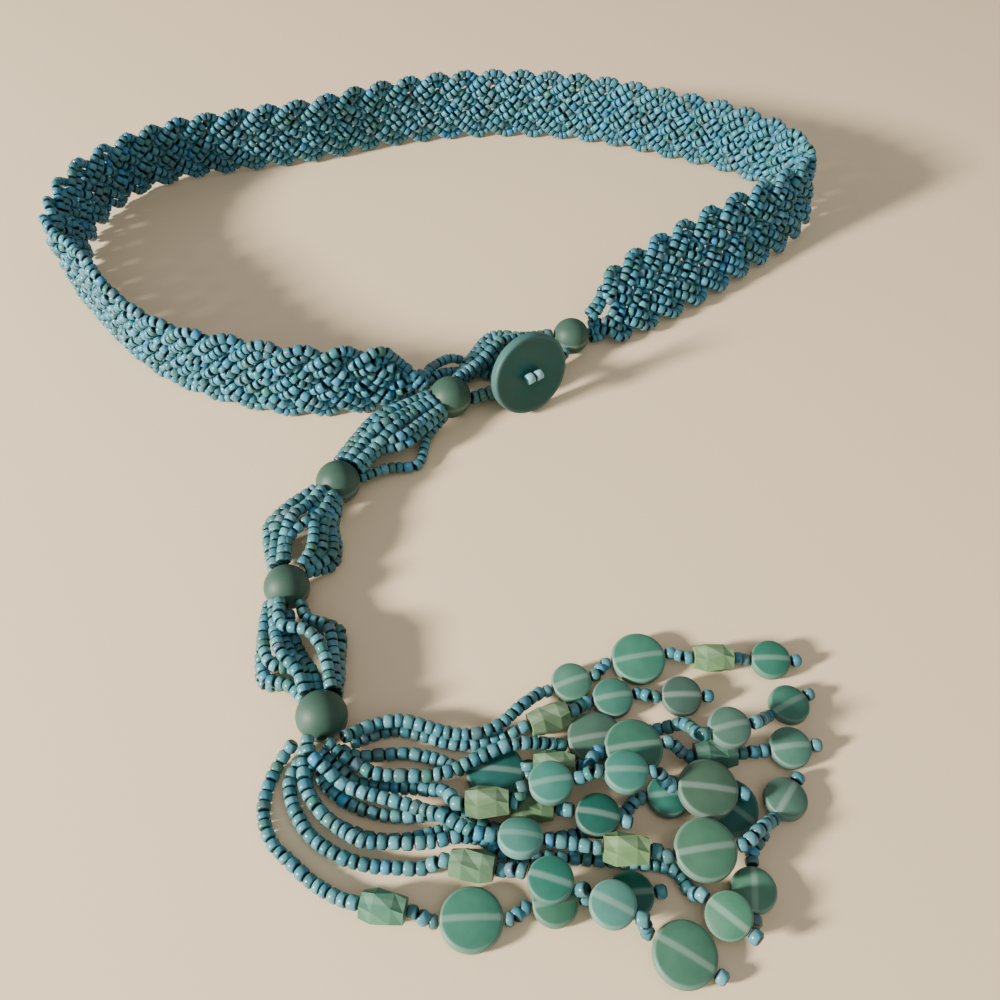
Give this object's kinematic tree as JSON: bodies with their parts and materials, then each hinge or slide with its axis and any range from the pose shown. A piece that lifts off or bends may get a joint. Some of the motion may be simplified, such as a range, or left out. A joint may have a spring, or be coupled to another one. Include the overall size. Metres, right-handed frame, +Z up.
{
  "type": "beaded belt",
  "caption": "Plaited seed-bead belt closed by a button in a bead-string buttonhole, with frosted round beads and a stone-hung bead tassel.",
  "frame": {"origin": "middle of the waist loop, on the surface the belt stands on", "axes": "+Z up out of the surface, -Y towards the front where the belt fastens and the tassel lies, +X along the waist loop towards the tapered end"},
  "size_m": [0.3048, 0.3754, 0.0322],
  "materials": {
    "seed_beads": "glossy opaque turquoise glass seed beads, mixed with a few greener and greyer ones",
    "round_beads": "frosted grey-green glass, soft sheen",
    "button": "matt dark teal glass",
    "green_stones": "frosted translucent glass in several green to teal shades",
    "olive_stones": "frosted olive-green glass, faceted"
  },
  "bodies": {
    "root": {"woven_band": "seed_beads", "round_bead_1": "round_beads", "round_bead_2": "round_beads", "round_bead_3": "round_beads", "round_bead_4": "round_beads", "round_bead_5": "round_beads", "bead_buttonhole_1": "seed_beads", "bead_buttonhole_2": "seed_beads", "bead_buttonhole_3": "seed_beads", "bead_buttonhole_4": "seed_beads", "button": "button", "button_shank": "seed_beads", "tassel_string_01": "seed_beads", "tassel_string_02": "seed_beads", "tassel_string_03": "seed_beads", "tassel_string_04": "seed_beads", "tassel_string_05": "seed_beads", "tassel_string_06": "seed_beads", "tassel_string_07": "seed_beads", "tassel_string_08": "seed_beads", "tassel_string_09": "seed_beads", "tassel_string_10": "seed_beads", "tassel_string_11": "seed_beads", "small_disc_01": "green_stones", "small_disc_02": "green_stones", "small_disc_03": "green_stones", "small_disc_04": "green_stones", "small_disc_05": "green_stones", "small_disc_06": "green_stones", "small_disc_07": "green_stones", "small_disc_08": "green_stones", "small_disc_09": "green_stones", "small_disc_10": "green_stones", "small_disc_11": "green_stones", "small_disc_12": "green_stones", "small_disc_13": "green_stones", "small_disc_14": "green_stones", "small_disc_15": "green_stones", "small_disc_16": "green_stones", "small_disc_17": "green_stones", "small_disc_18": "green_stones", "small_disc_19": "green_stones", "large_disc_01": "green_stones", "large_disc_02": "green_stones", "large_disc_03": "green_stones", "large_disc_04": "green_stones", "large_disc_05": "green_stones", "large_disc_06": "green_stones", "large_disc_07": "green_stones", "large_disc_08": "green_stones", "large_disc_09": "green_stones", "faceted_tube_01": "olive_stones", "faceted_tube_02": "olive_stones", "faceted_tube_03": "olive_stones", "faceted_tube_04": "olive_stones", "faceted_tube_05": "olive_stones", "faceted_tube_06": "olive_stones", "faceted_tube_07": "olive_stones", "faceted_tube_08": "olive_stones", "faceted_tube_09": "olive_stones"}
  },
  "joints": []
}
